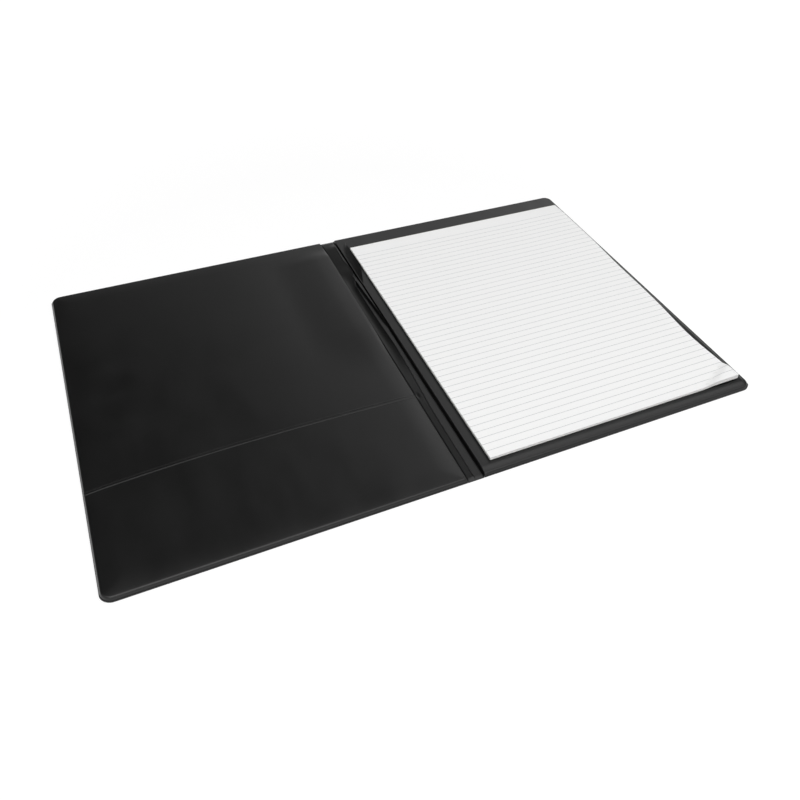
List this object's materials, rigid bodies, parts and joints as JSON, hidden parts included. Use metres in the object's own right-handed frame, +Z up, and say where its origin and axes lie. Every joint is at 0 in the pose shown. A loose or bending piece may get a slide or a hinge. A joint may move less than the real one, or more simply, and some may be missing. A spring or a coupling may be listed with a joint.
{
  "type": "writing folder",
  "caption": "Soft black vinyl writing folder, open flat, with film pockets inside the front cover and a ruled pad in the back cover.",
  "frame": {"origin": "on the table, under the middle of the open folder", "axes": "+X across the open folder from the front cover to the back cover, +Y to the folder's top, +Z up"},
  "size_m": [0.4768, 0.313, 0.0087],
  "materials": {
    "vinyl": "fine-grained soft vinyl",
    "lining": "smooth soft vinyl film",
    "pocket_film": "smooth soft vinyl film",
    "board": "plain grey board",
    "card": "plain grey card",
    "paper": "uncoated white, fine grey ruling",
    "glue": "thin padding glue"
  },
  "bodies": {
    "back_cover": {"back_skin": "vinyl", "back_board": "board", "back_lining": "lining", "back_pocket": "pocket_film", "pad_card": "card", "pad_pages": "paper", "pad_glue": "glue"},
    "spine": {"spine_skin": "vinyl", "spine_lining": "lining"},
    "front_cover": {"front_skin": "vinyl", "front_board": "board", "front_lining": "lining", "front_tall_pocket": "pocket_film", "front_low_pocket": "pocket_film"}
  },
  "joints": [
    {"name": "spine_hinge", "type": "hinge", "parent": "back_cover", "child": "spine", "pos_m": [0.006, 0, 0.0009], "axis": [0, 1, 0], "range_deg": [0, 90]},
    {"name": "front_hinge", "type": "hinge", "parent": "spine", "child": "front_cover", "pos_m": [-0.006, 0, 0.0009], "axis": [0, 1, 0], "range_deg": [0, 90]}
  ]
}
